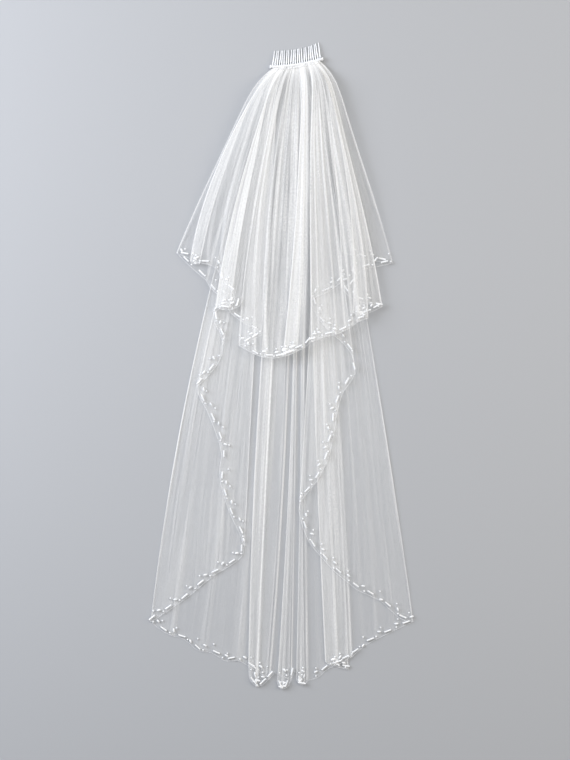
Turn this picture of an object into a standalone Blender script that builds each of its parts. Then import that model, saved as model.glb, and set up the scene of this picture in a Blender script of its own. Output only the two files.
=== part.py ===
"""Two-tier bridal veil, laid flat on a surface, face up.

Two oval sheets of tulle are gathered along a wire hair comb, the short one on the long one. Each sheet
is one folded wall: its fold lines fan out from the comb, and the cloth turns back at each of them, so
its panels lie on each other. X is across, +Y points to the comb, +Z is up through the layers, and the
origin is under the middle of the whole veil. Tables and constants are in millimetres.
"""

import math
from collections import namedtuple

import bpy

MM = 0.001

# The comb and its binding
COMB_ACROSS = 24.0
COMB_ALONG = 504.0
DOWN_FROM = 506.7
COMB_TILT = math.radians(8.5)
COMB_HALF = 41.0
COMB_BOW = 3.0
COMB_TEETH_HALF = 39.8
KNOB_LENGTH = 4.0
BINDING_RADIUS = 2.2
BINDING_HEIGHT_RATIO = 2.05
BINDING_MIDDLE_HEIGHT = 4.9
BINDING_TURNS = 16
BINDING_GROOVE = 0.9
KNOB_RATIO = 1.07
KNOB_TIP_RATIO = 0.8
WIRE_RADIUS = 0.6
TOOTH_COUNT = 22
TOOTH_LENGTH = 24.5
TOOTH_TIP_GATHER = 0.93
TOOTH_LEAN = 0.7
LEAN_WAVES = (2.4, 0.9)
TIP_RISE = 2.0
SPINE_AHEAD = 5.0
SPINE_HEIGHT = 3.4
SPINE_PIECES = 8
SEAM_GAP = 0.3

# The cloth
CLOTH_WALL = 1.0
LAYER_STEP = 1.5
FLOOR_LAYER = 0.5
GATHER_DEPTH = 40.0
LONG_GATHER_HEIGHTS = (0.8, 1.9, 2.1, 2.3, 2.5, 2.7, 3.8)
SHORT_GATHER_HEIGHTS = (5.1, 6.2, 7.3, 8.4, 8.6, 8.8, 9.0)
SHORT_TIER_CROWN = 15.5
SHORT_TIER_HALF_WIDTH = 184.0
SHORT_TIER_MIDDLE = 5.0
RIDGE_START = 20.0
RIDGE_REACH = 110.0
SLOPE_START = 0.25
OVERLAP_RADII = 3.0
SHOULDER = 11.0
SHOULDER_DEPTH = 40.0

# Sections of the cloth: near the comb at the same depth below it on every line, then at the same
# share of what is left of each line, down to the hem.
GATHER_SECTIONS = (0.0, 7.0, 14.0, 22.0, 31.0, 42.0, 57.0, 85.0)
SKIRT_SECTIONS = (0.1, 0.25, 0.45, 0.7, 1.0)

# One row for each fold line, in order along the gathering thread.
# comb: where the line starts, right of the comb's middle. mid and end: points of the line, as
# (across, down), down being measured from the level line at DOWN_FROM, at the comb. turn: the side
# that the fold closes, or "soft" for a crease where the cloth keeps its way. under, over: the layer
# that the cloth comes in on, and the one that it goes out on. The next three are of the panel after
# the line: columns between the two lines, how far its hem bows down, and the height of its gathers
# near the comb. shoulder: how far the gathers swell out the tier's outermost lines below the comb.
Fold = namedtuple(
    "Fold", "name comb mid end turn under over columns bow gathers shoulder", defaults=(0.0,)
)

LONG_TIER_FOLDS = (
    Fold("left_edge", -16.5, None, (-82, 405), "soft", 5, 5, 1, 0, 0),
    Fold("left_wave_top", -19.5, None, (-115, 420), "left", 5, 4, 1, 4, 0),
    Fold("left_wave_waist", -22.5, None, (-98, 473), "right", 4, 3, 1, 5, 0),
    Fold("left_wave_side", -25.5, (-110, 400), (-141, 540), "left", 3, 2, 3, 6, 0),
    Fold("left_wave_point", -35.0, (-54, 633), (-62, 807), "right", 2, 1, 3, 8, 0),
    Fold("left_outline", -40.0, (-120, 378), (-219, 933), "left", 1, 0, 1, 4, 0),
    Fold("left_hem_ripple", -34.0, None, (-153, 970), "soft", 0, 0, 1, -3, 0),
    Fold("left_hem_step", -26.0, None, (-103, 995), "soft", 0, 0, 1, 2, 0),
    Fold("pleat_1_under", -16.5, (-5, 700), (-25, 1025), "right", 0, 1, 0, 3, 0),
    Fold("pleat_1_top", -13.5, (-42, 612), (-56, 1007), "left", 1, 2, 0, 0, 0),
    Fold("pleat_1_ridge", -11.5, (-22, 590), (-43, 1042), "soft", 2, 2, 0, 0, 0),
    Fold("pleat_1_step", -9.5, (-1, 700), (-21, 1027), "soft", 2, 2, 0, 0, 0),
    Fold("valley_1", -7.0, (3, 700), (-12, 1018), "soft", 0, 0, 0, 0, 0),
    Fold("pleat_2_under", -4.0, (22, 700), (12, 1029), "right", 0, 1, 0, 0, 0),
    Fold("pleat_2_top", -1.5, (11, 700), (-7, 1018), "left", 1, 2, 0, 0, 0),
    Fold("pleat_2_ridge", 0.3, (16, 700), (-1, 1045), "soft", 2, 2, 0, 0, 0),
    Fold("pleat_2_step", 2.0, (26, 700), (15, 1025), "soft", 2, 2, 0, 0, 0),
    Fold("valley_2", 4.0, (30, 700), (21, 1015), "soft", 0, 0, 0, 0, 0),
    Fold("pleat_3_under", 6.2, (40, 830), (38, 1035), "right", 0, 1, 0, 0, 0),
    Fold("pleat_3_top", 8.4, (32, 820), (24, 1012), "left", 1, 2, 0, 0, 0),
    Fold("pleat_3_ridge", 9.8, (37, 825), (31, 1039), "soft", 2, 2, 0, 0, 0),
    Fold("pleat_3_step", 11.0, (44, 830), (42, 1030), "soft", 2, 2, 0, 0, 0),
    Fold("valley_3", 12.5, (50, 820), (51, 1027), "soft", 0, 0, 1, 4, 0),
    Fold("pleat_4_under", 14.5, (100, 763), (111, 1012), "right", 0, 1, 1, -2, 0),
    Fold("pleat_4_top", 16.5, (62, 780), (72, 998), "left", 1, 2, 1, 6, 0),
    Fold("pleat_4_step", 18.0, (104, 763), (115, 992), "soft", 2, 2, 0, 0, 0),
    Fold("right_hem_step", 28.0, (122, 740), (134, 975), "soft", 0, 0, 2, 5, 0),
    Fold("right_outline", 40.0, (163, 557), (219, 933), "right", 0, 1, 1, 8, 0),
    Fold("right_flap_rise", 38.5, (140, 620), (166, 898), "soft", 1, 1, 0, 0, 0),
    Fold("right_flap_crest", 37.0, (120, 620), (122, 868), "soft", 3, 3, 2, 6, 0),
    Fold("right_wave_point", 34.5, (45, 463), (28, 748), "left", 3, 4, 3, 20, 0),
    Fold("right_wave_side", 27.5, (106, 388), (122, 520), "right", 4, 5, 2, -12, 0),
    Fold("right_wave_waist", 23.5, (50, 263), (48, 397), "left", 5, 6, 2, 3, 0),
    Fold("right_edge", 26.0, (76, 160), (110, 352), "soft", 6, 6, 0, 0, 0),
)

SHORT_TIER_FOLDS = (
    Fold("left_edge", -18.0, (-40, 220), (-66, 392), "soft", 5, 5, 1, 10, 0),
    Fold("left_strip_outer", -22.0, (-71, 215), (-110, 408), "left", 5, 4, 1, 0, 0),
    Fold("left_strip_inner", -26.0, (-54, 215), (-85, 410), "right", 4, 3, 2, 4, 0),
    Fold("left_wing_outer", -30.0, (-108, 180), (-153, 333), "left", 3, 2, 0, 0, 0),
    Fold("left_wing_inner", -34.5, (-96, 190), (-136, 337), "right", 2, 1, 1, 2, 0),
    Fold("left_outline", -40.0, (-123, 202), (-176, 318), "left", 1, 0, 1, 2, 0),
    Fold("left_wing_crease", -34.0, (-81, 205), (-125, 365), "soft", 0, 0, 1, 3, 0),
    Fold("left_hem_step", -26.0, None, (-80, 424), "soft", 0, 0, 2, 3, 0),
    Fold("centre_1_under", -19.5, (-20, 240), (-33, 455), "right", 0, 1, 1, 2, 0),
    Fold("centre_1_top", -15.5, (-46, 240), (-72, 473), "left", 1, 2, 1, 0, 0.6),
    Fold("centre_1_ridge", -12.0, (-36, 240), (-45, 487), "soft", 2, 2, 5, 4, 0.8),
    Fold("centre_2_under", 5.0, (37, 270), (25, 482), "right", 2, 3, 1, 3, 0),
    Fold("centre_2_top", 7.5, (21, 280), (1, 491), "left", 3, 4, 3, 0, 0.8),
    Fold("centre_2_ridge", 12.0, (42, 240), (37, 478), "soft", 4, 4, 3, -2, 0.8),
    Fold("centre_3_under", 18.0, (60, 240), (77, 455), "right", 4, 5, 1, 2, 0),
    Fold("centre_3_top", 20.5, (46, 240), (48, 467), "left", 5, 6, 5, 3, 0.8),
    Fold("right_crease", 26.0, (84, 240), (105, 446), "soft", 6, 6, 3, 3, 0.6),
    Fold("right_fold_low", 29.5, (124, 245), (143, 428), "right", 6, 4, 1, 0, 0),
    Fold("right_turn_low", 31.8, (113, 250), (117, 418), "left", 4, 3, 1, 5, 0),
    Fold("right_fold_side", 35.5, (133, 240), (167, 408), "right", 3, 2, 2, 6, 0),
    Fold("right_turn_side", 33.0, (92, 228), (98, 377), "left", 2, 1, 3, 10, 0),
    Fold("right_outline", 40.0, (144, 202), (185, 335), "right", 1, 0, 2, 4, 0),
    Fold("right_edge", 34.5, (86, 200), (100, 318), "soft", 0, 0, 0, 0, 0),
)


def smooth_step(value):
    """A soft ramp from 0 to 1."""
    value = min(max(value, 0.0), 1.0)
    return value * value * (3 - 2 * value)


def mix(first, second, share):
    return tuple(a + (b - a) * share for a, b in zip(first, second))


def comb_point(place):
    """(across, along) on the comb's line, place mm right of its middle."""
    bow = COMB_BOW * (1 - (place / COMB_HALF) ** 2)
    across = COMB_ACROSS + place * math.cos(COMB_TILT)
    return across, COMB_ALONG + place * math.sin(COMB_TILT) - bow


def gather_point(fold):
    """Where a fold line leaves the binding."""
    across, along = comb_point(fold.comb)
    return across, along - BINDING_RADIUS - SEAM_GAP


def line_point(fold, share):
    """(across, along) on a fold line: a parabola through its three points, swollen by the gathers.

    The swelling is widest at SHOULDER_DEPTH below the comb, and further down it dies out."""
    start = gather_point(fold)
    end = (fold.end[0], DOWN_FROM - fold.end[1])
    if fold.mid is None:
        across, along = mix(start, end, share)
    else:
        mid = (fold.mid[0], DOWN_FROM - fold.mid[1])
        knot = (mid[1] - start[1]) / (end[1] - start[1])
        at_start = (share - knot) * (share - 1) / knot
        at_mid = share * (share - 1) / (knot * (knot - 1))
        at_end = share * (share - knot) / (1 - knot)
        across, along = (
            at_start * a + at_mid * b + at_end * c for a, b, c in zip(start, mid, end)
        )
    depth = (start[1] - along) / SHOULDER_DEPTH
    swelling = fold.shoulder * fold.comb / COMB_HALF * depth * math.exp(1 - depth)
    return across + swelling, along


def line_side(fold, share):
    """The level direction square to a fold line, towards the right."""
    ahead = line_point(fold, min(share + 0.01, 1.0))
    behind = line_point(fold, max(share - 0.01, 0.0))
    along = (ahead[0] - behind[0], ahead[1] - behind[1])
    length = math.hypot(*along)
    return -along[1] / length, along[0] / length


def below_comb(across, along):
    """How far a point lies below the gathering line."""
    place = (across - COMB_ACROSS) / math.cos(COMB_TILT)
    place = min(max(place, -COMB_HALF), COMB_HALF)
    return comb_point(place)[1] - BINDING_RADIUS - SEAM_GAP - along


def gathered_height(heights, layer):
    """Height in the pressed gathers, read between the named layers too."""
    lower = min(int(layer), len(heights) - 2)
    return heights[lower] + (heights[lower + 1] - heights[lower]) * (layer - lower)


def long_tier_height(layer, across, along):
    """Height of a layer's middle: pressed together at the comb, one on another further down."""
    gathered = gathered_height(LONG_GATHER_HEIGHTS, layer)
    laid = FLOOR_LAYER + LAYER_STEP * layer
    opened = smooth_step(below_comb(across, along) / GATHER_DEPTH)
    return gathered + (laid - gathered) * opened


def short_tier_height(layer, across, along):
    """The same, on the long tier's back and down to the surface at both sides."""
    gathered = gathered_height(SHORT_GATHER_HEIGHTS, layer)
    aside = min(abs(across - SHORT_TIER_MIDDLE) / SHORT_TIER_HALF_WIDTH, 1.0)
    laid = FLOOR_LAYER + SHORT_TIER_CROWN * (1 - aside**2) + LAYER_STEP * layer
    opened = smooth_step(below_comb(across, along) / GATHER_DEPTH)
    return gathered + (laid - gathered) * opened


def crest(fold, share):
    """The outermost point of a fold, or the crease itself, as (across, along, layer)."""
    return *line_point(fold, share), (fold.under + fold.over) / 2


def fold_end(fold, share, there, layer):
    """Where the panel towards the next line, whose crest is there, begins on its own layer.

    The panels lie on each other once the lines have crossed; before that the cloth only slopes."""
    top = crest(fold, share)
    if fold.turn == "soft":
        return top
    closes = 1 if fold.turn == "right" else -1
    side = line_side(fold, share)
    radius = max(LAYER_STEP * abs(layer - top[2]), CLOTH_WALL / 2)
    flat = (top[0] - closes * side[0] * radius, top[1] - closes * side[1] * radius, layer)
    overlap = closes * ((top[0] - there[0]) * side[0] + (top[1] - there[1]) * side[1])
    sloping = mix(top, there, SLOPE_START)
    return mix(sloping, flat, smooth_step(overlap / (OVERLAP_RADII * radius)))


def gather_ridge(fold, column, point):
    """Small ridges and troughs that run out from the gathers."""
    below = below_comb(point[0], point[1])
    height = fold.gathers * math.exp(-((below / RIDGE_REACH) ** 2))
    return height * smooth_step(below / RIDGE_START) * (1 if column % 2 else -1)


def line_share(fold, depth, skirt_share):
    """The share of a fold line that lies above a section."""
    length = gather_point(fold)[1] - (DOWN_FROM - fold.end[1])
    return (depth + skirt_share * (length - depth)) / length


def tier_section(folds, depth, skirt_share, height_of):
    """The cloth's middle line across one tier, at one section."""
    points = []

    def add(point, lift=0.0):
        across, along, layer = point
        points.append((across, along, height_of(layer, across, along) + lift))

    shares = [line_share(fold, depth, skirt_share) for fold in folds]
    tops = [crest(fold, share) for fold, share in zip(folds, shares)]
    for index, fold in enumerate(folds):
        if fold.turn != "soft":
            add(fold_end(fold, shares[index], tops[index - 1], fold.under))
        add(tops[index])
        if index == len(folds) - 1:
            break
        following = folds[index + 1]
        start = fold_end(fold, shares[index], tops[index + 1], fold.over)
        end = fold_end(following, shares[index + 1], tops[index], following.under)
        if fold.turn != "soft":
            add(start)
        for column in range(1, fold.columns + 1):
            part = column / (fold.columns + 1)
            across, along, layer = mix(start, end, part)
            along -= fold.bow * 4 * part * (1 - part) * skirt_share**3
            add((across, along, layer), gather_ridge(fold, column, (across, along)))
    return points


def build_tier(name, folds, height_of, collection, material):
    """One folded wall of cloth: a sheet lofted through its sections, given its thickness."""
    cuts = [(depth, 0.0) for depth in GATHER_SECTIONS]
    cuts += [(GATHER_SECTIONS[-1], share) for share in SKIRT_SECTIONS]
    sections = [tier_section(folds, depth, share, height_of) for depth, share in cuts]
    width = len(sections[0])
    points = [tuple(MM * value for value in point) for row in sections for point in row]
    faces = []
    for row in range(len(sections) - 1):
        for column in range(width - 1):
            corner = row * width + column
            below = corner + width
            faces.append((corner, below, corner + 1))
            faces.append((corner + 1, below, below + 1))
    mesh = bpy.data.meshes.new(name)
    mesh.from_pydata(points, [], faces)
    mesh.update()
    mesh.shade_smooth()
    tier = bpy.data.objects.new(name, mesh)
    collection.objects.link(tier)
    tier.data.materials.append(material)
    wall = tier.modifiers.new("cloth wall", "SOLIDIFY")
    wall.thickness = CLOTH_WALL * MM
    wall.offset = 0.0
    return tier


def build_tube(name, points, radius, collection, material, widths=None):
    """A round wire or tube through points, with closed ends."""
    curve = bpy.data.curves.new(name, "CURVE")
    curve.dimensions = "3D"
    curve.bevel_depth = radius * MM
    curve.bevel_resolution = 2
    curve.use_fill_caps = True
    spline = curve.splines.new("POLY")
    spline.points.add(len(points) - 1)
    for index, point in enumerate(points):
        spline.points[index].co = (*(MM * value for value in point), 1.0)
        spline.points[index].radius = widths[index] if widths else 1.0
    tube = bpy.data.objects.new(name, curve)
    collection.objects.link(tube)
    curve.materials.append(material)
    return tube


def build_binding(collection, material):
    """The thread wound round the gathers and the comb, with a knot at each end."""
    count = 2 * BINDING_TURNS
    places = [COMB_HALF * (2 * index / count - 1) for index in range(count + 1)]
    widths = [1.0 if index % 2 else BINDING_GROOVE for index in range(count + 1)]
    knob = COMB_HALF + KNOB_LENGTH / 2
    tip = COMB_HALF + KNOB_LENGTH
    places = [-tip, -knob, *places, knob, tip]
    widths = [KNOB_TIP_RATIO, KNOB_RATIO, *widths, KNOB_RATIO, KNOB_TIP_RATIO]
    points = [(*comb_point(place), 0.0) for place in places]
    binding = build_tube("comb_binding", points, BINDING_RADIUS, collection, material, widths)
    binding.scale.z = BINDING_HEIGHT_RATIO
    binding.location.z = BINDING_MIDDLE_HEIGHT * MM
    return binding


def build_comb(collection, material):
    """The spine wire and the row of wire teeth, which dip to the surface at their tips."""
    spine_points = []
    for index in range(SPINE_PIECES + 1):
        across, along = comb_point(COMB_HALF * (2 * index / SPINE_PIECES - 1))
        spine_points.append((across, along + SPINE_AHEAD, SPINE_HEIGHT))
    build_tube("comb_spine", spine_points, WIRE_RADIUS, collection, material)
    over_spine = SPINE_HEIGHT + 2 * WIRE_RADIUS + SEAM_GAP
    for number in range(TOOTH_COUNT):
        share = number / (TOOTH_COUNT - 1)
        across, along = comb_point(COMB_TEETH_HALF * (2 * share - 1))
        root = along + BINDING_RADIUS + SEAM_GAP
        lean = TOOTH_LEAN * sum(math.sin(wave * number) for wave in LEAN_WAVES)
        tip_across = COMB_ACROSS + (across - COMB_ACROSS) * TOOTH_TIP_GATHER + lean
        tip = root + TOOTH_LENGTH + TIP_RISE * (2 * share - 1) ** 2 * share
        points = [
            (across, root, over_spine),
            (across, along + SPINE_AHEAD, over_spine),
            ((across + tip_across) / 2, (root + tip) / 2, over_spine - WIRE_RADIUS),
            ((across + 3 * tip_across) / 4, (root + 3 * tip) / 4, SPINE_HEIGHT),
            (tip_across, tip, 2 * WIRE_RADIUS),
        ]
        build_tube(f"comb_tooth_{number + 1:02d}", points, WIRE_RADIUS, collection, material)


def build_material(name, colour, roughness, metallic):
    material = bpy.data.materials.new(name)
    material.use_nodes = True
    shader = material.node_tree.nodes["Principled BSDF"]
    shader.inputs["Base Color"].default_value = (*colour, 1.0)
    shader.inputs["Roughness"].default_value = roughness
    shader.inputs["Metallic"].default_value = metallic
    material.diffuse_color = (*colour, 1.0)
    return material


def main():
    for thing in list(bpy.data.objects):
        bpy.data.objects.remove(thing, do_unlink=True)
    veil = bpy.data.collections.new("bridal_veil")
    bpy.context.scene.collection.children.link(veil)
    tulle = build_material("white_tulle", (0.86, 0.87, 0.87), 0.6, 0.0)
    thread = build_material("white_binding_thread", (0.84, 0.84, 0.8), 0.7, 0.0)
    steel = build_material("silver_comb_wire", (0.72, 0.73, 0.74), 0.25, 1.0)
    build_tier("long_tier", LONG_TIER_FOLDS, long_tier_height, veil, tulle)
    swollen_folds = [fold._replace(shoulder=SHOULDER) for fold in SHORT_TIER_FOLDS]
    build_tier("short_tier", swollen_folds, short_tier_height, veil, tulle)
    build_binding(veil, thread)
    build_comb(veil, steel)


main()
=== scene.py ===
# %% [markdown]
# # A two-tier bridal veil, laid flat
#
# The object is a bridal veil of white tulle. Two oval sheets, a long one and a short one on top of it, are
# gathered along a wire hair comb, and their cut edge is sewn with beads. It lies face up on a flat surface.
#
# The imported model is loaded first. It gives the frame that everything here is placed in, in metres, with
# +Y towards the comb and +Z up through the layers of cloth.

# %% Load the imported model
import math
from collections import namedtuple

import bpy
import numpy as np
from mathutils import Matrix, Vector


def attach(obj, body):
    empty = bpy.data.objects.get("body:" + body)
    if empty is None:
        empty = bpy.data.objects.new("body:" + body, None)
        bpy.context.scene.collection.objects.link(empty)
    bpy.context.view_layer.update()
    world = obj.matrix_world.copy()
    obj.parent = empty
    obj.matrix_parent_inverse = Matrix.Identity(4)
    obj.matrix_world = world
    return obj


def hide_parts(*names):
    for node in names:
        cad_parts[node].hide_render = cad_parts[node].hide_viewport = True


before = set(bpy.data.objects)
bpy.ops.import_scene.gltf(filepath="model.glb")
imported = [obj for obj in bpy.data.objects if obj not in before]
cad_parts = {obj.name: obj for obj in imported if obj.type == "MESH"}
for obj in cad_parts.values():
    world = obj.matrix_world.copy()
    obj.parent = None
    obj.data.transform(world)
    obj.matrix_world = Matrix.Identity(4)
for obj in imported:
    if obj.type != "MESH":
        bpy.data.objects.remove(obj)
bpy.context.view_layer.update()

MM = 0.001
print("nodes in the packed model:", len(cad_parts))

# %% [markdown]
# Colours are written as sRGB hex values, which are what a colour picker shows. A shader wants linear
# numbers, so one function turns them. Another adds a shader node with its settings and its links, and every
# material below is built with these two.

# %% Helpers for colours and materials


def linear(hex_colour):
    """An sRGB hex colour as the linear red, green, blue and alpha that a shader takes."""
    parts = [int(hex_colour[place : place + 2], 16) / 255 for place in (1, 3, 5)]
    return *(p / 12.92 if p <= 0.04045 else ((p + 0.055) / 1.055) ** 2.4 for p in parts), 1.0


def add_node(material, kind, values=(), links=(), **settings):
    """Adds a node. Settings are its own choices, values fill its sockets and links feed them."""
    node = material.node_tree.nodes.new(kind)
    for name, value in settings.items():
        setattr(node, name, value)
    for socket, value in dict(values).items():
        node.inputs[socket].default_value = value
    for socket, source in dict(links).items():
        material.node_tree.links.new(source, node.inputs[socket])
    return node


def new_material(name, **values):
    """A material of one Principled shader, with values for its sockets, and that shader."""
    material = bpy.data.materials.new(name)
    material.use_nodes = True
    shader = material.node_tree.nodes["Principled BSDF"]
    for socket, value in values.items():
        shader.inputs[socket.replace("_", " ")].default_value = value
    return material, shader


def deselect():
    """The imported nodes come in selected, and an operator acts on all that is selected."""
    bpy.ops.object.select_all(action="DESELECT")


# %% [markdown]
# ## Camera, light and floor
#
# The veil is seen from straight above, so the camera looks down the Z axis. Its height follows from the
# lens and from how much of the floor the picture covers. The light is a large soft window on the left and a
# weaker, warmer one on the right, with a plain one beyond the comb: sheer cloth shows its folds only where
# light rakes across it. The view transform is Standard, because a film-like one would turn white cloth grey.
# The floor is matt paper in a pale grey, which white net still stands out from.

# %% Camera
PICTURE_HEIGHT = 1.267
PICTURE_MIDDLE = (0.005, -0.0233)
LENS = 85.0
SENSOR = 36.0

deselect()
camera_height = PICTURE_HEIGHT / 2 / (SENSOR / 2 / LENS)
bpy.ops.object.camera_add(location=(*PICTURE_MIDDLE, camera_height), rotation=(0, 0, 0))
camera = bpy.context.object
camera.name = "camera_above"
camera.data.lens = LENS
camera.data.sensor_width = SENSOR
bpy.context.scene.camera = camera
bpy.context.scene.view_settings.view_transform = "Standard"
bpy.context.scene.cycles.transparent_max_bounces = 96
bpy.context.scene.cycles.diffuse_bounces = 6
print("camera height:", round(camera_height, 3), "m")

# %% Lights and world
Window = namedtuple("Window", "name place size watts colour")
WINDOWS = (
    Window("window_left", (-1.7, 0.7, 1.15), 1.3, 42.0, "#F1F5FF"),
    Window("window_right", (1.8, 0.2, 1.5), 1.6, 20.0, "#FFF4E6"),
    Window("window_above", (0.1, 1.5, 2.4), 2.0, 18.0, "#FFFFFF"),
)
for window in WINDOWS:
    bpy.ops.object.light_add(type="AREA", location=window.place)
    light = bpy.context.object
    light.name = window.name
    light.data.size = window.size
    light.data.energy = window.watts
    light.data.color = linear(window.colour)[:3]
    light.rotation_euler = (-Vector(window.place)).to_track_quat("-Z", "Y").to_euler()

world = bpy.data.worlds.new("soft_room")
world.use_nodes = True
world.node_tree.nodes["Background"].inputs["Color"].default_value = linear("#F4F6F8")
world.node_tree.nodes["Background"].inputs["Strength"].default_value = 0.42
bpy.context.scene.world = world
print("lights:", [window.name for window in WINDOWS])

# %% Floor
FLOOR_SIZE = 12.0
FLOOR_BELOW = 0.0002

bpy.ops.mesh.primitive_plane_add(size=FLOOR_SIZE, location=(0, 0, -FLOOR_BELOW))
floor = bpy.context.object
floor.name = "plain_floor"
paper, _ = new_material("matt_grey_paper", Base_Color=linear("#B3B5B8"), Roughness=0.9)
floor.data.materials.append(paper)
print("floor:", FLOOR_SIZE, "m square")

# %% [markdown]
# ## Folded cloth
#
# Each tier is one sheet. On the real veil the sheet is gathered to the width of the comb and then falls in
# folds, and where it turns back its panels lie on each other. A cloth simulation of this would give some
# veil, but not this one. So the folds are listed: a row for each fold line, in order along the
# gathering thread, and the cloth is spread between the lines.
#
# A line leaves the comb at `comb`, passes `mid` and ends on the edge at `end`. `turn` is the side that the
# fold closes, or soft for a crease where the cloth keeps its way. `under` and `over` are the layers that
# the cloth comes in on and goes out on. `line` is how brightly the line shows, and `cloth` how much net the
# panel after it holds: 1 is a single smooth sheet, more is cloth that is bunched small, less is pulled
# open. `hem` are the points that the cut edge passes on its way to the next line. Everything else is in
# millimetres, across from the middle and down from a line at the comb.

# %% The fold tables
Fold = namedtuple("Fold", "name comb mid end turn under over line cloth hem shoulder", defaults=(0.0,))

LONG_TIER_FOLDS = (
    Fold("left_edge", -16.5, None, (-82, 405), "soft", 5, 5, 0, 1.0, ((-97, 407),)),
    Fold("left_wave_top", -19.5, None, (-115, 420), "left", 5, 4, 0.8, 1.0, ((-112, 436), (-101, 455))),
    Fold("left_wave_waist", -22.5, None, (-98, 473), "right", 4, 3, 0.6, 1.0, ((-101, 492), (-117, 516))),
    Fold("left_wave_side", -25.5, (-110, 400), (-141, 540), "left", 3, 2, 0.8, 1.3,
         ((-139, 556), (-124, 584), (-107, 628), (-101, 655), (-104, 682), (-99, 715), (-84, 757),
          (-70, 785))),
    Fold("left_wave_point", -35.0, (-54, 633), (-62, 807), "right", 2, 1, 1.0, 1.0,
         ((-66, 823), (-87, 840), (-114, 856), (-158, 892), (-190, 914))),
    Fold("left_outline", -40.0, (-120, 378), (-219, 933), "left", 1, 0, 0.8, 1.0,
         ((-202, 947), (-184, 956), (-168, 960))),
    Fold("left_hem_ripple", -34.0, None, (-153, 970), "soft", 0, 0, 0, 0.8, ((-140, 981), (-120, 984))),
    Fold("left_hem_step", -26.0, None, (-103, 993), "soft", 0, 0, 0, 0.8,
         ((-93, 999), (-72, 998), (-52, 1009))),
    Fold("pleat_1_under", -16.5, (-2, 700), (-25, 1025), "right", 0, 1, 0.3, 0.6, ()),
    Fold("pleat_1_top", -13.5, (-42, 612), (-56, 1007), "left", 1, 2, 1.2, 2.2, ((-54, 1028),)),
    Fold("pleat_1_ridge", -11.5, (-22, 590), (-43, 1041), "soft", 2, 2, 1.6, 0.7, ((-31, 1037),)),
    Fold("pleat_1_step", -9.5, (2, 700), (-21, 1027), "soft", 2, 2, 0.9, 0.4, ()),
    Fold("valley_1", -7.0, (6, 700), (-12, 1018), "soft", 0, 0, 0, 0.4, ()),
    Fold("pleat_2_under", -4.0, (18, 700), (12, 1029), "right", 0, 1, 0.3, 0.6, ()),
    Fold("pleat_2_top", -1.5, (11, 700), (-7, 1018), "left", 1, 2, 1.2, 2.2, ((-8, 1036),)),
    Fold("pleat_2_ridge", 0.3, (15, 700), (-1, 1045), "soft", 2, 2, 0.5, 0.8, ((10, 1041),)),
    Fold("pleat_2_step", 2.0, (21, 700), (15, 1028), "soft", 2, 2, 1.3, 0.4, ()),
    Fold("valley_2", 4.0, (25, 700), (21, 1015), "soft", 0, 0, 0, 0.4, ()),
    Fold("pleat_3_under", 6.2, (35, 830), (38, 1035), "right", 0, 1, 0.3, 0.8, ()),
    Fold("pleat_3_top", 8.4, (28, 820), (24, 1012), "left", 1, 2, 1.3, 2.0, ((24, 1030),)),
    Fold("pleat_3_ridge", 9.8, (33, 825), (31, 1038), "soft", 2, 2, 0.6, 1.6, ((38, 1037),)),
    Fold("pleat_3_step", 11.0, (39, 830), (42, 1030), "soft", 2, 2, 1.0, 0.5, ()),
    Fold("valley_3", 12.5, (48, 820), (51, 1029), "soft", 0, 0, 0, 0.6,
         ((61, 1025), (76, 1012), (90, 1007))),
    Fold("pleat_4_under", 14.5, (100, 763), (111, 1012), "right", 0, 1, 0.5, 1.2, ((103, 1011), (89, 1007))),
    Fold("pleat_4_top", 16.5, (62, 780), (72, 998), "left", 1, 2, 1.0, 1.8,
         ((78, 1004), (91, 1005), (104, 998))),
    Fold("pleat_4_step", 18.0, (104, 763), (115, 992), "soft", 2, 2, 0.8, 0.7, ()),
    Fold("right_hem_step", 28.0, (122, 740), (134, 976), "soft", 0, 0, 0.4, 0.7,
         ((150, 966), (172, 955), (199, 942))),
    Fold("right_outline", 40.0, (163, 557), (219, 933), "right", 0, 1, 0.8, 0.7,
         ((208, 932), (196, 926), (183, 915))),
    Fold("right_flap_rise", 38.5, (140, 620), (166, 899), "soft", 1, 1, 0, 0.7, ((148, 890),)),
    Fold("right_flap_crest", 37.0, (120, 620), (126, 880), "soft", 3, 3, 0, 0.8,
         ((107, 865), (87, 848), (64, 823), (45, 800), (33, 771))),
    Fold("right_wave_point", 34.5, (45, 463), (28, 748), "left", 3, 4, 1.0, 1.1,
         ((32, 730), (54, 703), (64, 687), (77, 660), (84, 631), (88, 608), (92, 585), (101, 553),
          (114, 534))),
    Fold("right_wave_side", 27.5, (106, 388), (122, 520), "right", 4, 5, 0.8, 1.1,
         ((121, 504), (116, 487), (108, 476), (100, 467), (77, 447), (57, 422))),
    Fold("right_wave_waist", 23.5, (50, 263), (48, 397), "left", 5, 6, 0.8, 1.3,
         ((60, 390), (78, 382), (98, 367))),
    Fold("right_edge", 26.0, (76, 160), (110, 352), "soft", 6, 6, 0, 1.0, ()),
)

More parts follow.
